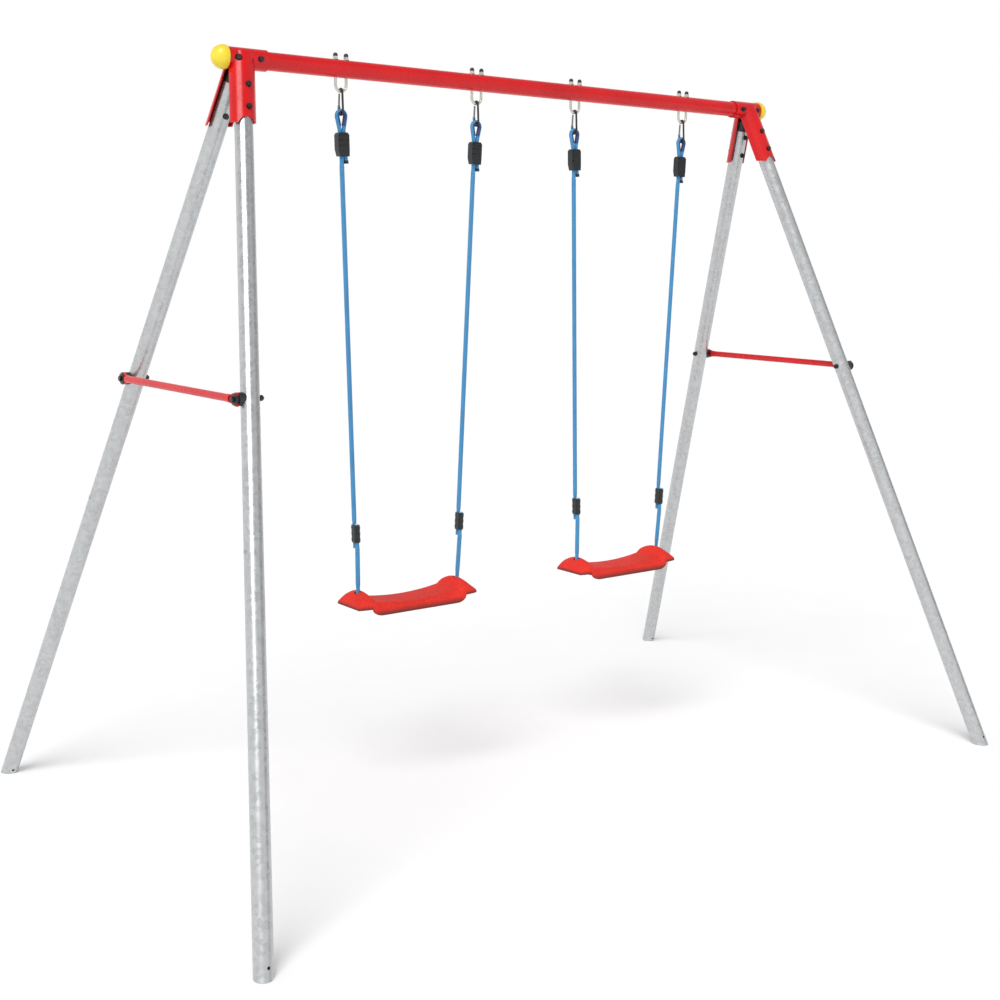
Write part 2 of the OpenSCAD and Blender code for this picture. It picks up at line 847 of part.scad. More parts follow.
// Skins a row of equal sections into one solid
module loft(sections) {
    n = len(sections[0]);
    m = len(sections);
    polyhedron(
        points = [for (s = sections, p = s) p],
        faces = concat(
            [[for (j = [n - 1 : -1 : 0]) j]],
            [[for (j = [0 : n - 1]) (m - 1) * n + j]],
            [for (i = [0 : m - 2], j = [0 : n - 1])
                let(a = i * n + j, b = i * n + (j + 1) % n)
                [a, b, b + n, a + n]]
        )
    );
}

module seat(side) {
    half_len = seat_len / 2;
    color("#e2443c")
        translate([side * swing_x, 0, knot_z])
            difference() {
                union() {
                    difference() {
                        seat_block(half_len, 0, seat_floor);
                        seat_block(half_len - seat_wall, seat_wall, 2 * seat_floor);
                    }
                    intersection() {
                        seat_block(half_len - seat_wall / 2, seat_wall / 2, seat_floor);
                        union() {
                            translate([-seat_panel_x, -rib_t / 2, -60]) cube([2 * seat_panel_x, rib_t, 120]);
                            translate([-seat_panel_x, -seat_depth / 2, seat_floor + 1])
                                cube([2 * seat_panel_x, seat_depth, seat_wall]);
                            for (e = [-1, 1])
                                translate([e * seat_pitch / 2, 0, boss_low]) cylinder(h = 60, r = boss_r);
                        }
                    }
                }
                for (e = [-1, 1])
                    translate([e * seat_pitch / 2, 0, 0]) {
                        cylinder(h = 60, r = seat_hole_r);
                        sphere(r = knot_r + 0.4);
                    }
            }
}

// ---- Assembly ----

top_beam();
ball_cap("left");  // left_ball_cap
ball_cap("right");  // right_ball_cap
bracket("left", "front");  // front_left_bracket
bracket("left", "rear");  // rear_left_bracket
bracket("right", "front");  // front_right_bracket
bracket("right", "rear");  // rear_right_bracket
upper_leg("left", "front");  // front_left_upper_leg
upper_leg("left", "rear");  // rear_left_upper_leg
upper_leg("right", "front");  // front_right_upper_leg
upper_leg("right", "rear");  // rear_right_upper_leg
lower_leg("left", "front");  // front_left_lower_leg
lower_leg("left", "rear");  // rear_left_lower_leg
lower_leg("right", "front");  // front_right_lower_leg
lower_leg("right", "rear");  // rear_right_lower_leg
leg_top_plugs();
leg_joint_screws();
frame_bolts();
frame_nuts();
brace("left");  // left_brace
brace("right");  // right_brace
brace_hubs();
brace_bolts();
brace_nuts();
u_bolt(1);  // u_bolt_1
u_bolt(2);  // u_bolt_2
u_bolt(3);  // u_bolt_3
u_bolt(4);  // u_bolt_4
u_bolt_washers();
u_bolt_nuts();
u_bolt_caps();
hook(1);  // hook_1
hook(2);  // hook_2
hook(3);  // hook_3
hook(4);  // hook_4
gate(1);  // gate_1
gate(2);  // gate_2
gate(3);  // gate_3
gate(4);  // gate_4
gate_rivets(-1);  // left_gate_rivets
gate_rivets(1);  // right_gate_rivets
thimbles(-1);  // left_thimbles
thimbles(1);  // right_thimbles
upper_rope(1);  // upper_rope_1
upper_rope(2);  // upper_rope_2
upper_rope(3);  // upper_rope_3
upper_rope(4);  // upper_rope_4
lower_rope(1);  // lower_rope_1
lower_rope(2);  // lower_rope_2
lower_rope(3);  // lower_rope_3
lower_rope(4);  // lower_rope_4
rope_adjusters(-1);  // left_rope_adjusters
rope_adjusters(1);  // right_rope_adjusters
rope_clamp(1);  // rope_clamp_1
rope_clamp(2);  // rope_clamp_2
rope_clamp(3);  // rope_clamp_3
rope_clamp(4);  // rope_clamp_4
seat(-1);  // left_seat
seat(1);  // right_seat
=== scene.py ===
"""Double swing set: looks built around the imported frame. Metres, +Z up, -Y is the front."""
import json
import math

import bmesh
import bpy
from mathutils import Matrix, Vector


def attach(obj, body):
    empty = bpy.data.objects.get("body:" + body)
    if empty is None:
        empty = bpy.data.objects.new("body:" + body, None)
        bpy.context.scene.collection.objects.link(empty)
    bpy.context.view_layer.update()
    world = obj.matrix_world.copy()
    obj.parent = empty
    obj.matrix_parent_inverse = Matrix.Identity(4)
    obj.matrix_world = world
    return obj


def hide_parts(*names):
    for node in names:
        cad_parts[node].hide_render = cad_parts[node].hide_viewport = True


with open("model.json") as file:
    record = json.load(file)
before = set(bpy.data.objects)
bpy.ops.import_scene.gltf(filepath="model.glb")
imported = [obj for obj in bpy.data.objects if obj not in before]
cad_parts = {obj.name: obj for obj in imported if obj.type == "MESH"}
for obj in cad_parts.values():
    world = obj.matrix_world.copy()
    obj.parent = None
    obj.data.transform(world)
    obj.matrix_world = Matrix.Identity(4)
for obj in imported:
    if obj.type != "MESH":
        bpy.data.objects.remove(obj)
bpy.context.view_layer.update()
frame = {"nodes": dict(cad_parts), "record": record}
nodes = frame["nodes"]
MM = 0.001

# ---------------------------------------------------------------- camera

CAMERA_AT = Vector((-2.8329, -3.5206, 1.6160))
FORWARD = Vector((0.60731, 0.77642, -0.16833))
RIGHT = Vector((0.78917, -0.61398, 0.015247))
UP = Vector((0.09152, 0.14210, 0.98561))

camera_data = bpy.data.cameras.new("camera")
camera_data.sensor_width = 36.0
camera_data.lens = 52.43
camera_data.clip_end = 1000.0
camera = bpy.data.objects.new("camera", camera_data)
turn = Matrix((RIGHT, UP, -FORWARD)).transposed().to_4x4()
camera.matrix_world = Matrix.Translation(CAMERA_AT) @ turn
bpy.context.scene.collection.objects.link(camera)
bpy.context.scene.camera = camera

# ---------------------------------------------------------------- measures shared with part.scad, mm

SWING_X, HANGER_PITCH, SEAT_PITCH = 422.0, 464.0, 356.0
EYE_Z, KNOT_Z = 1989.0, 603.0
ROPE_R, EYE_R = 6.0, 14.0
STRAND_X = ROPE_R + 0.2  # half the gap between two strands lying side by side
PASSING = ROPE_R + 0.5  # how far past a fitting's end the rope bends
EYE_FOOT = 51.4
ADJUSTER_LOW, ADJUSTER_EXIT_X = 122.0, -3.2
SHORT_END_OUT, SHORT_END_DROP = 4.6, 18.0
HALF_SPREAD = (HANGER_PITCH - SEAT_PITCH) / 2
ROPE_LEAN = math.atan2(HALF_SPREAD, EYE_Z - KNOT_Z)
ROPE_LEN = math.hypot(HALF_SPREAD, EYE_Z - KNOT_Z)
EYE_CONV = (math.asin(EYE_R / math.hypot(STRAND_X, EYE_FOOT - EYE_R))
            - math.atan2(STRAND_X, EYE_FOOT - EYE_R))
CLAMP_TOP = ROPE_LEN - 226.0
CLAMP_LOW = CLAMP_TOP + 51.0
TAIL_LEN = 18.0
KNOT_R, KNOT_TAIL = 12.0, 22.0


def swing_side(i):
    return -1 if i < 3 else 1


def hanger_side(i):
    return -1 if i % 2 == 1 else 1


def side_name(i):
    return "left" if i < 3 else "right"


def rope_frame(i):
    """Matrix from hanger i's rope frame, in mm, to the world, in metres."""
    x = swing_side(i) * SWING_X + hanger_side(i) * HANGER_PITCH / 2
    lean = Matrix.Rotation(hanger_side(i) * ROPE_LEAN, 4, "Y")
    return Matrix.Scale(MM, 4) @ Matrix.Translation((x, 0, EYE_Z)) @ lean


# ---------------------------------------------------------------- node materials


class Graph:
    """A small helper that adds and links the nodes of one tree."""

    def __init__(self, tree, coords):
        self.tree = tree
        self.coords = self.add("ShaderNodeTexCoord").outputs[coords]

    def add(self, kind, **settings):
        node = self.tree.nodes.new(kind)
        for key, value in settings.items():
            setattr(node, key, value)
        return node

    def link(self, a, b):
        self.tree.links.new(a, b)

    def noise(self, scale, detail=3.0, rough=0.55, coords=None, distortion=0.0):
        node = self.add("ShaderNodeTexNoise")
        node.inputs["Scale"].default_value = scale
        node.inputs["Detail"].default_value = detail
        node.inputs["Roughness"].default_value = rough
        node.inputs["Distortion"].default_value = distortion
        self.link(coords or self.coords, node.inputs["Vector"])
        return node.outputs["Fac"]

    def voronoi(self, scale, feature="F1", out="Distance", coords=None):
        node = self.add("ShaderNodeTexVoronoi", feature=feature)
        node.inputs["Scale"].default_value = scale
        self.link(coords or self.coords, node.inputs["Vector"])
        return node.outputs[out]

    def stretched(self, x, y, z):
        node = self.add("ShaderNodeMapping")
        node.inputs["Scale"].default_value = (x, y, z)
        self.link(self.coords, node.inputs["Vector"])
        return node.outputs["Vector"]

    def remap(self, value, low, high, to_low, to_high):
        node = self.add("ShaderNodeMapRange")
        for key, number in zip(
            ("From Min", "From Max", "To Min", "To Max"), (low, high, to_low, to_high)
        ):
            node.inputs[key].default_value = number
        self.link(value, node.inputs["Value"])
        return node.outputs["Result"]

    def ramp(self, value, stops):
        node = self.add("ShaderNodeValToRGB")
        ramp = node.color_ramp
        while len(ramp.elements) < len(stops):
            ramp.elements.new(0.5)
        for element, (at, colour) in zip(ramp.elements, stops):
            element.position = at
            element.color = (*colour, 1.0)
        self.link(value, node.inputs["Fac"])
        return node.outputs["Color"]

    def math(self, operation, a, b=0.0):
        node = self.add("ShaderNodeMath", operation=operation)
        for socket, value in zip(node.inputs, (a, b)):
            if isinstance(value, (int, float)):
                socket.default_value = value
            else:
                self.link(value, socket)
        return node.outputs[0]

    def mix(self, factor, a, b, mode="MIX"):
        node = self.add("ShaderNodeMix", data_type="RGBA", blend_type=mode)
        for socket, value in ((node.inputs[0], factor), (node.inputs[6], a), (node.inputs[7], b)):
            if isinstance(value, (int, float)):
                socket.default_value = value
            elif isinstance(value, tuple):
                socket.default_value = (*value, 1.0)
            else:
                self.link(value, socket)
        return node.outputs[2]

    def bump(self, height, distance, strength=1.0, normal=None):
        node = self.add("ShaderNodeBump")
        node.inputs["Distance"].default_value = distance
        node.inputs["Strength"].default_value = strength
        self.link(height, node.inputs["Height"])
        if normal is not None:
            self.link(normal, node.inputs["Normal"])
        return node.outputs["Normal"]


class Surface(Graph):
    """The nodes of one material, around its shader."""

    def __init__(self, name):
        self.material = bpy.data.materials.new(name)
        self.material.use_nodes = True
        self.material.node_tree.nodes.clear()
        super().__init__(self.material.node_tree, "Object")
        self.shader = self.add("ShaderNodeBsdfPrincipled")
        output = self.add("ShaderNodeOutputMaterial")
        self.link(self.shader.outputs["BSDF"], output.inputs["Surface"])

    def finish(self, colour, roughness, normal=None, **fixed):
        self.link(colour, self.shader.inputs["Base Color"])
        self.link(roughness, self.shader.inputs["Roughness"])
        if normal is not None:
            self.link(normal, self.shader.inputs["Normal"])
        for key, value in fixed.items():
            self.shader.inputs[key.replace("_", " ")].default_value = value
        return self.material


def srgb(r, g, b):
    """Linear colour from 0 to 255 screen values."""

    def one(c):
        c /= 255.0
        return c / 12.92 if c <= 0.04045 else ((c + 0.055) / 1.055) ** 2.4

    return (one(r), one(g), one(b))


def tones(base, spread):
    """A darker and a lighter tone of a colour."""
    return (
        tuple(c * (1 - spread) for c in base),
        tuple(min(1.0, c * (1 + spread)) for c in base),
    )


def enamel(name, colour, roughness, spread=0.10):
    """Glossy paint with faint clouding and orange peel."""
    g = Surface(name)
    dark, light = tones(colour, spread)
    cloud = g.noise(7.0, 4.0)
    fleck = g.noise(420.0, 2.0)
    body = g.ramp(cloud, [(0.3, dark), (0.7, light)])
    body = g.mix(g.remap(fleck, 0.62, 0.75, 0.0, 0.25), body, dark)
    rough = g.remap(g.noise(55.0, 4.0), 0.3, 0.7, roughness - 0.05, roughness + 0.08)
    peel = g.bump(g.noise(650.0, 2.0), 0.0002, 0.25)
    return g.finish(body, rough, g.bump(g.noise(18.0, 2.0), 0.0008, 0.12, peel),
                    Coat_Weight=0.12, Coat_Roughness=0.1, Specular_IOR_Level=0.32)


def galvanised(name, colour, roughness):
    """Hot-dip zinc: crystal cells and streaks along the tube."""
    g = Surface(name)
    dark, light = tones(colour, 0.09)
    shade = g.add("ShaderNodeSeparateColor")
    g.link(g.voronoi(95.0, out="Color"), shade.inputs["Color"])
    spangle = shade.outputs[0]
    streak = g.noise(9.0, 5.0, 0.6, g.stretched(6.0, 6.0, 0.35))
    blend = g.math("ADD", g.math("MULTIPLY", spangle, 0.45), g.math("MULTIPLY", streak, 0.55))
    body = g.ramp(blend, [(0.25, dark), (0.75, light)])
    rough = g.remap(spangle, 0.0, 1.0, roughness - 0.04, roughness + 0.06)
    grain = g.bump(g.noise(1500.0, 2.0), 0.0001, 0.2)
    return g.finish(body, rough, g.bump(spangle, 0.00003, 0.08, grain), Metallic=0.85)


def plated(name, colour, roughness, metallic=0.9):
    """Bright plating with a fine grain."""
    g = Surface(name)
    dark, light = tones(colour, 0.16)
    body = g.ramp(g.noise(140.0, 5.0, 0.65), [(0.3, dark), (0.7, light)])
    rough = g.remap(g.noise(420.0, 3.0), 0.3, 0.7, roughness - 0.08, roughness + 0.1)
    return g.finish(body, rough, g.bump(g.noise(1800.0, 2.0), 0.00008, 0.3), Metallic=metallic)


def coated(name, colour, roughness, metallic=0.0):
    """A dark coating that thins along rubbed places."""
    g = Surface(name)
    dark, light = tones(colour, 0.25)
    body = g.ramp(g.noise(90.0, 4.0), [(0.3, dark), (0.7, light)])
    rubbed = g.remap(g.noise(260.0, 5.0, 0.7), 0.66, 0.78, 0.0, 0.35)
    body = g.mix(rubbed, body, tuple(min(1.0, c + 0.10) for c in colour))
    rough = g.remap(g.noise(300.0, 3.0), 0.3, 0.7, roughness - 0.08, roughness + 0.1)
    return g.finish(body, rough, g.bump(g.noise(1100.0, 2.0), 0.0001, 0.3), Metallic=metallic)


def moulded(name, colour, roughness, grain=900.0, depth=0.00015, spread=0.08, **fixed):
    """Moulded plastic: a fine leathery grain, faint flow marks and scuffs."""
    g = Surface(name)
    dark, light = tones(colour, spread)
    flow = g.noise(11.0, 4.0, 0.6, g.stretched(1.0, 2.5, 2.5), 0.6)
    body = g.ramp(flow, [(0.3, dark), (0.7, light)])
    scuff = g.remap(g.noise(75.0, 6.0, 0.7, g.stretched(0.4, 2.0, 2.0)), 0.64, 0.8, 0.0, 0.22)
    body = g.mix(scuff, body, light)
    rough = g.remap(g.noise(160.0, 3.0), 0.3, 0.7, roughness - 0.06, roughness + 0.08)
    pebble = g.voronoi(grain, "SMOOTH_F1")
    return g.finish(body, rough, g.bump(pebble, depth, 0.45), **fixed)


# Where painted shade fades in along a seat's lower edges, in metres: going outward, and between its
# shaded and unshaded heights
SKIRT_SHADE_Y, SKIRT_SHADE_Z = (0.050, 0.060), (0.572, 0.587)
FLAP_SHADE_X, FLAP_SHADE_Z = (0.163, 0.172), (0.592, 0.601)


def seat_plastic(name, colour):
    """Embossed seat plastic, with painted shade in grey-brown along its lower edges."""
    g = Surface(name)
    dark, light = tones(colour, 0.18)
    hide = g.voronoi(230.0, "SMOOTH_F1")
    flow = g.noise(13.0, 4.0, 0.6)
    blend = g.math("ADD", g.math("MULTIPLY", hide, 0.6), g.math("MULTIPLY", flow, 0.5))
    body = g.ramp(blend, [(0.3, light), (0.75, dark)])
    scuff = g.remap(g.noise(160.0, 6.0, 0.7), 0.58, 0.74, 0.0, 0.4)
    body = g.mix(scuff, body, srgb(236, 112, 98))
    # Painted shade: the skirt's outer faces and the end flaps darken to grey-brown towards their lower
    # edges.
    place = g.add("ShaderNodeSeparateXYZ")
    g.link(g.coords, place.inputs["Vector"])
    height = g.math("ADD", place.outputs["Z"], g.math("MULTIPLY", g.noise(60.0, 3.0), 0.004))
    from_middle = g.math("SUBTRACT", g.math("ABSOLUTE", place.outputs["X"]), SWING_X * MM)
    outward = g.remap(g.math("ABSOLUTE", place.outputs["Y"]), *SKIRT_SHADE_Y, 0.0, 1.0)
    endward = g.remap(g.math("ABSOLUTE", from_middle), *FLAP_SHADE_X, 0.0, 1.0)
    skirt = g.math("MULTIPLY", outward, g.remap(height, *SKIRT_SHADE_Z, 1.0, 0.0))
    flap = g.math("MULTIPLY", endward, g.remap(height, *FLAP_SHADE_Z, 1.0, 0.0))
    body = g.mix(g.math("MULTIPLY", g.math("MAXIMUM", skirt, flap), 0.85), body, srgb(82, 52, 48))
    rough = g.remap(g.noise(180.0, 3.0), 0.3, 0.7, 0.55, 0.7)
    fine = g.bump(g.voronoi(1100.0, "SMOOTH_F1"), 0.0001, 0.3)
    return g.finish(body, rough, g.bump(hide, 0.0009, 0.5, fine), Specular_IOR_Level=0.12)


def rope_material(name):
    """Plaited yarn: the pattern follows the rope's own UVs, around and along it, with painted shade in
    the grooves between the plaits and a painted highlight on their crowns.
    """
    g = Surface(name)
    uv = g.add("ShaderNodeUVMap", uv_map="rope").outputs["UV"]
    split = g.add("ShaderNodeSeparateXYZ")
    g.link(uv, split.inputs["Vector"])
    around, along = split.outputs["X"], split.outputs["Y"]
    right = g.math("ADD", around, along)
    left = g.math("SUBTRACT", around, along)

    def hump(value):
        return g.math("ABSOLUTE", g.math("SINE", g.math("MULTIPLY", value, math.pi)))

    pillow = g.math("MULTIPLY", hump(right), hump(left))
    parity = g.math("MODULO", g.math("ADD", g.math("FLOOR", right), g.math("FLOOR", left)), 2.0)
    fibres = g.noise(2600.0, 3.0, 0.6)
    groove_shade_and_blotch, mid, crown_highlight_and_fleck = srgb(6, 54, 108), srgb(42, 136, 200), srgb(112, 196, 234)
    # Painted shade and highlight: the plait's bump shape sets a dark tone in the grooves and a light
    # tone on the crowns.
    body = g.ramp(pillow, [(0.08, groove_shade_and_blotch), (0.5, mid), (0.95, crown_highlight_and_fleck)])
    body = g.mix(g.math("MULTIPLY", g.math("ABSOLUTE", parity), 0.22), body, srgb(24, 98, 168))
    # Light fibre flecks and darker blotches at random, in the same two tones.
    body = g.mix(g.remap(fibres, 0.35, 0.75, 0.0, 0.35), body, crown_highlight_and_fleck)
    body = g.mix(g.remap(g.noise(14.0, 3.0), 0.35, 0.7, 0.0, 0.18), body, groove_shade_and_blotch)
    rough = g.remap(fibres, 0.3, 0.7, 0.62, 0.85)
    fuzz = g.bump(fibres, 0.0003, 0.5)
    return g.finish(body, rough, g.bump(pillow, 0.0006, 0.6, fuzz),
                    Sheen_Weight=0.25, Sheen_Roughness=0.5, Specular_IOR_Level=0.35)


def cut_end_material(name):
    """Heat-sealed rope end: paler yarn ends, mottled in two tones."""
    g = Surface(name)
    body = g.ramp(g.noise(900.0, 4.0), [(0.3, srgb(120, 165, 205)), (0.7, srgb(205, 220, 232))])
    rough = g.remap(g.noise(500.0, 3.0), 0.3, 0.7, 0.5, 0.75)
    return g.finish(body, rough, g.bump(g.noise(1400.0, 3.0), 0.0004, 0.6))


RED = srgb(200, 12, 19)
SLOTS = {
    "red_enamel": enamel("red_enamel", RED, 0.27),
    "yellow_plastic": moulded("yellow_plastic", srgb(232, 208, 44), 0.34, 700.0, 0.0001, 0.06,
                              Coat_Weight=0.2, Coat_Roughness=0.25),
    "galvanised_steel": galvanised("galvanised_steel", srgb(190, 192, 193), 0.29),
    "zinc_plated_steel": plated("zinc_plated_steel", srgb(206, 203, 192), 0.30, 0.85),
    "bare_steel": plated("bare_steel", srgb(178, 182, 184), 0.32),
    "black_coated_steel": coated("black_coated_steel", srgb(58, 57, 58), 0.28, 0.65),
    "grey_coated_steel": coated("grey_coated_steel", srgb(120, 124, 128), 0.40, 0.5),
    "black_nylon": moulded("black_nylon", srgb(13, 19, 21), 0.26, 1300.0, 0.00005, 0.2),
    "blue_black_plastic": moulded("blue_black_plastic", srgb(40, 54, 104), 0.4, 1300.0, 0.0001, 0.15),
    "black_plastic": moulded("black_plastic", srgb(34, 35, 38), 0.36, 1200.0, 0.0001, 0.2),
    "blue_rope": rope_material("blue_rope"),
    "red_plastic": seat_plastic("red_plastic", srgb(214, 50, 40)),
}
CUT_END = cut_end_material("cut_rope_end")

slot_of = {p["node"]: p["material_slot"] for p in frame["record"]["subparts"]}


def smooth(mesh, angle=35.0):
    """Smooth shading with creases where faces meet at more than the angle."""
    mesh.shade_smooth()
    mesh.set_sharp_from_angle(angle=math.radians(angle))


for node_name, node in nodes.items():
    node.data.materials.clear()
    node.data.materials.append(SLOTS[slot_of[node_name]])


def soften(obj, width, segments, angle):
    """A bevel of so many mm on the edges sharper than the angle."""
    bevel = obj.modifiers.new("broken_edges", "BEVEL")
    bevel.width = width * MM
    bevel.segments = segments
    bevel.limit_method = "ANGLE"
    bevel.angle_limit = math.radians(angle)


# Broken edges on the brackets, braces, fasteners and rope fittings: width in mm, segments
ROUNDED = {
    "bracket": (0.9, 2),
    "brace": (0.5, 2),
    "brace_hubs": (0.8, 2),
    "bolts": (0.5, 2),
    "nuts": (0.4, 2),
    "rope_adjusters": (1.2, 3),
    "rope_clamp": (0.9, 2),
}
for node_name, node in nodes.items():
    for ending, (width, segments) in ROUNDED.items():
        if node_name.rstrip("_1234").endswith(ending):
            soften(node, width, segments, 40)
            break

# ---------------------------------------------------------------- mesh helpers


def linked(name, mesh):
    obj = bpy.data.objects.new(name, mesh)
    bpy.context.scene.collection.objects.link(obj)
    return obj


def new_object(name, verts, faces, material, uvs=None):
    mesh = bpy.data.meshes.new(name)
    mesh.from_pydata([tuple(v) for v in verts], [], faces)
    mesh.materials.append(material)
    if uvs is not None:
        layer = mesh.uv_layers.new(name="rope")
        for loop, uv in zip(layer.data, uvs):
            loop.uv = uv
    smooth(mesh)
    return linked(name, mesh)


def resample(points, step):
    """Points about step apart along a polyline."""
    out = [points[0].copy()]
    for a, b in zip(points, points[1:]):
        count = max(1, round((b - a).length / step))
        out += [a.lerp(b, k / count) for k in range(1, count + 1)]
    return out


def eased(points, passes):
    """Rounds a fine polyline's corners and keeps its ends."""
    for _ in range(passes):
        inner = [(a + 2 * b + c) / 4 for a, b, c in zip(points, points[1:], points[2:])]
        points = [points[0], *inner, points[-1]]
    return points


# ---------------------------------------------------------------- ropes

PLAITS = 6
PLAIT_PITCH = 13.0
PLAIT_DEPTH = 0.7
AROUND = 36
ROPE_STEP = 1.3
EASING = 6  # passes that round the route's corners
SLACK_R = 1.0  # how much fuller the rope is where nothing grips it
DOME = ((0.82, 0.9), (0.5, 1.249))  # a sealed end's rings: share of the radius, and rise in mm
DOME_RISE = 1.8


def eased_step(value, low, high):
    run = min(1.0, max(0.0, (value - low) / (high - low)))
    return run * run * (3 - 2 * run)


def plait_turns(along):
    """How far the plaits have gone round after a distance along the rope."""
    return PLAITS * 0.5 * along / PLAIT_PITCH


def plait_rings(points, tangents, radius_at):
    """A ring of vertices round each point of a centreline, and the distance along to each."""
    side = tangents[0].orthogonal().normalized()
    verts, reach, along = [], [], 0.0
    for k, (p, t) in enumerate(zip(points, tangents)):
        side = (side - t * side.dot(t)).normalized()
        other = t.cross(side)
        if k:
            along += (p - points[k - 1]).length
        for j in range(AROUND):
            angle = 2 * math.pi * j / AROUND
            u, v = PLAITS * j / AROUND, plait_turns(along)
            pillow = abs(math.sin(math.pi * (u + v))) * abs(math.sin(math.pi * (u - v)))
            radius = radius_at(along, angle) - PLAIT_DEPTH * (1 - pillow) ** 1.5
            verts.append(p + (side * math.cos(angle) + other * math.sin(angle)) * radius)
        reach.append(along)
    return verts, reach


def tube_faces(reach):
    """The faces between the rings, and their UVs, around and along."""
    faces, uvs = [], []
    for k in range(len(reach) - 1):
        v0, v1 = plait_turns(reach[k]), plait_turns(reach[k + 1])
        for j in range(AROUND):
            a, b = k * AROUND + j, k * AROUND + (j + 1) % AROUND
            faces.append((a, b, b + AROUND, a + AROUND))
            u0, u1 = PLAITS * j / AROUND, PLAITS * (j + 1) / AROUND
            uvs += [(u0, v0), (u1, v0), (u1, v1), (u0, v1)]
    return faces, uvs


def seal_end(bm, ring, centre, axis, flipped):
    """A domed, heat-sealed end on a ring of vertices."""

    def cap(*corners):
        face = bm.faces.new(corners[::-1] if flipped else corners)
        face.material_index = 1
        face.smooth = True

    spread = [v.co - centre for v in ring]
    for share, rise in DOME:
        inner = [bm.verts.new(centre + s * share + axis * rise * MM) for s in spread]
        for j in range(AROUND):
            after = (j + 1) % AROUND
            cap(ring[j], ring[after], inner[after], inner[j])
        ring = inner
    tip = bm.verts.new(centre + axis * DOME_RISE * MM)
    for j in range(AROUND):
        cap(ring[j], ring[(j + 1) % AROUND], tip)


def plaited(name, path, place, body, radius_at):
    """A plaited tube along a path in mm, and its centreline in metres.

    radius_at takes the distance along and the angle around.
    """
    points = eased(resample([Vector(p) for p in path], ROPE_STEP), EASING)
    last = len(points) - 1
    tangents = [(points[min(k + 1, last)] - points[max(k - 1, 0)]).normalized() for k in range(last + 1)]
    verts, reach = plait_rings(points, tangents, radius_at)
    faces, uvs = tube_faces(reach)
    obj = new_object(name, [place @ v for v in verts], faces, SLOTS["blue_rope"], uvs)
    mesh = obj.data
    mesh.materials.append(CUT_END)
    bm = bmesh.new()
    bm.from_mesh(mesh)
    bm.verts.ensure_lookup_table()
    rings = [[bm.verts[k * AROUND + j] for j in range(AROUND)] for k in (0, last)]
    for k, ring, out in zip((0, last), rings, (-tangents[0], tangents[-1])):
        seal_end(bm, ring, place @ points[k], (place.to_3x3() @ out).normalized(), k == 0)
    bmesh.ops.recalc_face_normals(bm, faces=bm.faces)
    bm.to_mesh(mesh)
    bm.free()
    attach(obj, body)
    return obj, [place @ p for p in points]


def rope(name, path, place, body, replaced, loose):
    """A rope held at both ends. loose(distance along) is 1 where nothing grips it."""
    obj, centre = plaited(name, path, place, body, lambda along, angle: ROPE_R + SLACK_R * loose(along))
    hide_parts(replaced)


def line_reach(line):
    """The distance along a line to each of its points."""
    reach = [0.0]
    for a, b in zip(line, line[1:]):
        reach.append(reach[-1] + (b - a).length)
    return reach


def loose_between(rise, fall):
    """A function of the distance along: 0 where the rope is gripped, 1 from rise to fall."""
    return lambda along: eased_step(along, *rise) * (1 - eased_step(along, *fall))


def eye_path():
    """The upper rope's line: short end, eye, adjuster, clamp and tail, in its rope frame."""
    def flip(p):
        return Vector((-p[0], p[1], p[2]))

    tangent = Vector((EYE_R * math.cos(EYE_CONV), 0, -EYE_R - EYE_R * math.sin(EYE_CONV)))
    throat = Vector((STRAND_X, 0, -EYE_FOOT))
    short_end = Vector((STRAND_X + SHORT_END_OUT, 0, -ADJUSTER_LOW - SHORT_END_DROP))
    leave = Vector((ADJUSTER_EXIT_X, 0, -ADJUSTER_LOW - PASSING))
    clamp = Vector((0, STRAND_X, -CLAMP_LOW))
    tail = clamp + (clamp - leave).normalized() * TAIL_LEN
    steps = 40
    sweep = math.pi + 2 * EYE_CONV
    arc = [
        Vector((EYE_R * math.cos(a), 0, -EYE_R + EYE_R * math.sin(a)))
        for a in (-EYE_CONV + sweep * k / steps for k in range(steps + 1))
    ]
    return [short_end, throat, tangent] + arc[1:-1] + [flip(tangent), flip(throat), leave, tail]


def hang_upper_rope(i, body):
    line = eye_path()
    reach = line_reach(line)
    start, end = reach[-2], reach[-1] - TAIL_LEN - (CLAMP_LOW - CLAMP_TOP)
    loose = loose_between((start + 4, start + 24), (end - 20, end - 4))
    rope("rope_upper_%d" % i, line, rope_frame(i), body, "upper_rope_%d" % i, loose)


def knot_radius(along, angle):
    """Three lumpy turns of an overhand knot, inside a ball."""
    reach = along - KNOT_R
    ball = math.sqrt(max(4.0, (KNOT_R - 0.1) ** 2 - reach * reach))
    return ball * (0.9 + 0.1 * abs(math.sin(1.5 * angle + 0.19 * math.pi * reach)))


def hang_lower_rope(i, body):
    top = Vector((0, -STRAND_X, -CLAMP_TOP + 2))
    front = Vector((0, -STRAND_X, -CLAMP_LOW - PASSING))
    knot_at = Vector((0, 0, -ROPE_LEN))
    knot_end = Vector((0, 0, KNOT_R))
    knot, _ = plaited("rope_knot_%d" % i, (knot_at + knot_end, knot_at - knot_end), rope_frame(i), body,
                      knot_radius)
    line = [top, front, knot_at, knot_at - Vector((0, 0, KNOT_TAIL))]
    _, start, end, _ = line_reach(line)
    loose = loose_between((start + 2, start + 16), (end - 52, end - 38))
    rope("rope_lower_%d" % i, line, rope_frame(i), body, "lower_rope_%d" % i, loose)


for hanger in range(1, 5):
    ropes_body = side_name(hanger) + "_ropes"
    hang_upper_rope(hanger, ropes_body)
    hang_lower_rope(hanger, ropes_body)

# ---------------------------------------------------------------- seats

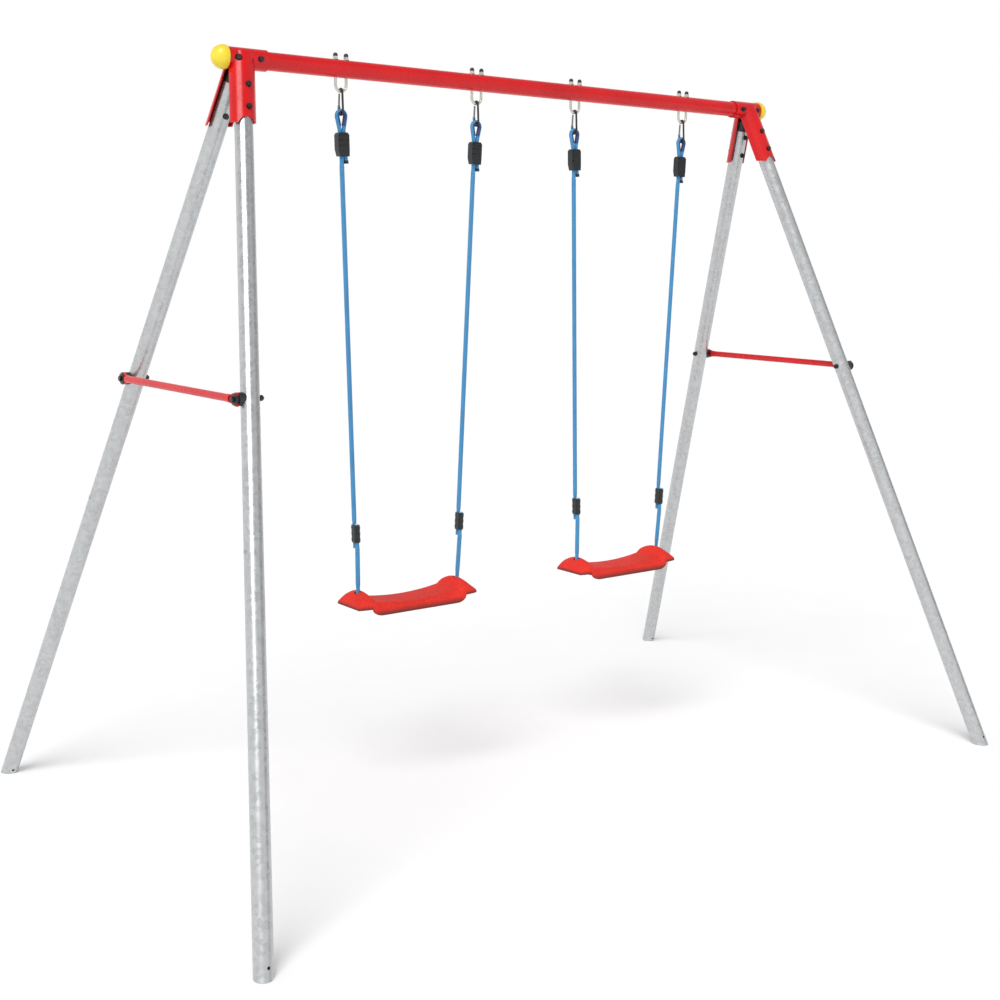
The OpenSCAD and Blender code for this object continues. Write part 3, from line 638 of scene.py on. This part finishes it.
SEAT_LEN, SEAT_DEPTH, SEAT_WALL = 424.0, 136.0, 4.0
SEAT_HOLE_R, SEAT_BOSS_R = 11.0, 18.0
PANEL_X, RIB_HALF = 122.0, 2.0
TRIM = 2.0  # how far inside the shell's outer face the parts underneath stop
PAST = 90.0  # beyond the shell on every side
SEAT = dict(mid=-10.0, mid_rise=12.0, ridge=29.0, tip=-4.0, floor=-37.0, flat_x=140.0, ridge_x=172.0,
            arch=20.0, arch_mid=2.0, round_mid=21.0, round_tip=7.0, tip_narrow=10.0,
            flap=-16.0, skirt_x=132.0, flap_x=168.0)


def raised(a):
    """How far the seat has risen to its end ridge, at a mm from its middle, from 0 to 1."""
    if a < SEAT["flat_x"]:
        return 0.0
    if a < SEAT["ridge_x"]:
        run = (a - SEAT["flat_x"]) / (SEAT["ridge_x"] - SEAT["flat_x"])
        return (1 - math.cos(math.pi * run)) / 2
    return 1 - ((a - SEAT["ridge_x"]) / (SEAT_LEN / 2 - SEAT["ridge_x"])) ** 1.6


def seat_top(a):
    run = min(a, SEAT["flat_x"]) / SEAT["flat_x"]
    low = SEAT["mid"] + SEAT["mid_rise"] * run**2 if a < SEAT["ridge_x"] else SEAT["tip"]
    return low + (SEAT["ridge"] - low) * raised(a)


def seat_drop(a):
    return SEAT["arch_mid"] + (SEAT["arch"] - SEAT["arch_mid"]) * raised(a)


def seat_round(a):
    run = min(1.0, max(0.0, (a - SEAT["flat_x"]) / 25))
    return SEAT["round_mid"] + (SEAT["round_tip"] - SEAT["round_mid"]) * run


def seat_half(a):
    run = max(0.0, a - SEAT["flat_x"]) / (SEAT_LEN / 2 - SEAT["flat_x"])
    return SEAT_DEPTH / 2 - SEAT["tip_narrow"] * run**2


def seat_rim(a):
    if a < SEAT["skirt_x"]:
        return SEAT["floor"]
    if a < SEAT["flap_x"]:
        run = (a - SEAT["skirt_x"]) / (SEAT["flap_x"] - SEAT["skirt_x"])
        return SEAT["floor"] + (SEAT["flap"] - SEAT["floor"]) * (1 - math.sqrt(1 - run * run))
    return SEAT["flap"]


def seat_section(x, inset, foot, count=24):
    """The outline across the seat at x, from its foot over the top to its foot."""
    a = abs(x)
    h, r = seat_half(a), seat_round(a)
    out = [Vector((x, inset - h, foot))]
    for k in range(count + 1):
        s = math.sin(math.pi * (k / count - 0.5))
        over = max(0.0, abs(h * s) - h + r)
        z = seat_top(a) - inset - seat_drop(a) * s * s - r + math.sqrt(max(0.0, r * r - over * over))
        out.append(Vector((x, (h - inset) * s, z)))
    out.append(Vector((x, h - inset, foot)))
    return out


def seat_block(name, half_len, inset, foot, stations=64):
    """A solid lofted through the seat's sections. With no foot it ends at the seat's rim."""
    rows = []
    for k in range(-stations, stations + 1):
        x = math.copysign(half_len * (abs(k) / stations) ** 0.8, k)
        rows.append(seat_section(x, inset, seat_rim(abs(x)) if foot is None else foot))
    n = len(rows[0])
    verts = [v for row in rows for v in row]
    faces = [tuple(range(n))[::-1], tuple((len(rows) - 1) * n + j for j in range(n))]
    for i in range(len(rows) - 1):
        for j in range(n):
            a, b = i * n + j, i * n + (j + 1) % n
            faces.append((a, b, b + n, a + n))
    mesh = bpy.data.meshes.new(name)
    mesh.from_pydata([tuple(v * MM) for v in verts], [], faces)
    bm = bmesh.new()
    bm.from_mesh(mesh)
    bmesh.ops.recalc_face_normals(bm, faces=bm.faces)
    bm.to_mesh(mesh)
    bm.free()
    return linked(name, mesh)


def solid(name, build):
    """A helper object from a bmesh function, for a boolean."""
    bm = bmesh.new()
    build(bm)
    mesh = bpy.data.meshes.new(name)
    bm.to_mesh(mesh)
    bm.free()
    return linked(name, mesh)


def box_solid(name, low, high):
    low, high = Vector(low) * MM, Vector(high) * MM
    place = Matrix.Translation((low + high) / 2) @ Matrix.Diagonal((*(high - low), 1.0))
    return solid(name, lambda bm: bmesh.ops.create_cube(bm, size=1.0, matrix=place))


def rod_solid(name, foot, radius, height, segments=64):
    place = Matrix.Translation(Vector(foot) * MM + Vector((0, 0, height / 2 * MM)))

    def build(bm):
        bmesh.ops.create_cone(bm, cap_ends=True, segments=segments, radius1=radius * MM,
                              radius2=radius * MM, depth=height * MM, matrix=place)

    return solid(name, build)


def ball_solid(name, centre, radius):
    place = Matrix.Translation(Vector(centre) * MM)

    def build(bm):
        bmesh.ops.create_uvsphere(bm, u_segments=48, v_segments=24, radius=radius * MM, matrix=place)

    return solid(name, build)


def combine(obj, other, operation):
    """Applies a boolean of obj with other, and removes other."""
    modifier = obj.modifiers.new("cut", "BOOLEAN")
    modifier.operation = operation
    modifier.solver = "EXACT"
    modifier.object = other
    bpy.context.view_layer.update()
    depsgraph = bpy.context.evaluated_depsgraph_get()
    mesh = bpy.data.meshes.new_from_object(obj.evaluated_get(depsgraph))
    obj.modifiers.clear()
    obj.data = mesh
    bpy.data.objects.remove(other)


def make_seat(side):
    """A hollow shell with a floor panel, a lengthwise rib, and a boss round each knot."""
    name = "left" if side < 0 else "right"
    half = SEAT_LEN / 2
    obj = seat_block("seat_shell_" + name, half, 0.0, None)
    combine(obj, seat_block("inner", half - SEAT_WALL, SEAT_WALL, -PAST), "DIFFERENCE")
    parts = [
        box_solid("panel", (-PANEL_X, -PAST, SEAT["floor"] + 1), (PANEL_X, PAST, SEAT["floor"] + 5)),
        box_solid("rib", (-PANEL_X, -RIB_HALF, -60), (PANEL_X, RIB_HALF, 60)),
    ]
    parts += [rod_solid("boss", (e * SEAT_PITCH / 2, 0, 2), SEAT_BOSS_R, 60) for e in (-1, 1)]
    for part in parts:
        combine(part, seat_block("trim", half - TRIM, TRIM, None), "INTERSECT")
        combine(obj, part, "UNION")
    for e in (-1, 1):
        at_knot = (e * SEAT_PITCH / 2, 0, 0)
        combine(obj, rod_solid("hole", at_knot, SEAT_HOLE_R, 60), "DIFFERENCE")
        combine(obj, ball_solid("pocket", at_knot, KNOT_R + 0.4), "DIFFERENCE")
    mesh = obj.data
    mesh.transform(Matrix.Translation((side * SWING_X * MM, 0, KNOT_Z * MM)))
    mesh.materials.clear()
    mesh.materials.append(SLOTS["red_plastic"])
    smooth(mesh, 32.0)
    soften(obj, 1.2, 3, 38)
    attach(obj, name + "_seat")
    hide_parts(name + "_seat")


for side in (-1, 1):
    make_seat(side)

# ---------------------------------------------------------------- floor and light

FLOOR_HALF = 400.0
WHITE = (1.0, 1.0, 1.0)


def studio_floor():
    """A pale floor, wide enough that its edge never shows."""
    g = Surface("studio_floor")
    tone = g.ramp(g.noise(3.0, 4.0), [(0.3, (0.975,) * 3), (0.7, (0.99,) * 3)])
    material = g.finish(tone, g.remap(g.noise(12.0, 3.0), 0.3, 0.7, 0.85, 0.95))
    corners = [(x * FLOOR_HALF, y * FLOOR_HALF, 0) for x, y in ((-1, -1), (1, -1), (1, 1), (-1, 1))]
    new_object("studio_floor", corners, [(0, 1, 2, 3)], material)


def studio_sky():
    """A white sky that greys overhead, with a dark flag on the right for the tubes' dark side."""
    world = bpy.data.worlds.new("studio")
    bpy.context.scene.world = world
    world.use_nodes = True
    g = Graph(world.node_tree, "Generated")
    place = g.add("ShaderNodeSeparateXYZ")
    g.link(g.coords, place.inputs["Vector"])
    overhead = g.ramp(place.outputs["Z"], [(0.30, WHITE), (0.75, (0.40, 0.40, 0.41))])
    toward = g.add("ShaderNodeVectorMath", operation="DOT_PRODUCT")
    g.link(g.coords, toward.inputs[0])
    toward.inputs[1].default_value = Vector((0.93, -0.36, 0.0)).normalized()
    flag = g.ramp(toward.outputs["Value"], [(0.78, WHITE), (0.92, (0.45, 0.45, 0.46))])
    background = world.node_tree.nodes["Background"]
    g.link(g.mix(1.0, overhead, flag, "MULTIPLY"), background.inputs["Color"])
    background.inputs["Strength"].default_value = 1.0


def aimed(light, at, look_at):
    light.location = at
    light.rotation_mode = "QUATERNION"
    light.rotation_quaternion = (Vector(look_at) - Vector(at)).to_track_quat("-Z", "Y")
    bpy.context.scene.collection.objects.link(light)


def soft_key():
    """One large soft light from the front left."""
    sun = bpy.data.lights.new("soft_key", "SUN")
    sun.energy = 2.0
    sun.angle = math.radians(35)
    aimed(bpy.data.objects.new("soft_key", sun), (-4.0, -3.0, 6.0), (0, 0, 0))


studio_floor()
studio_sky()
soft_key()
bpy.context.scene.view_settings.view_transform = "Standard"

# ---------------------------------------------------------------- the end

bpy.context.view_layer.update()
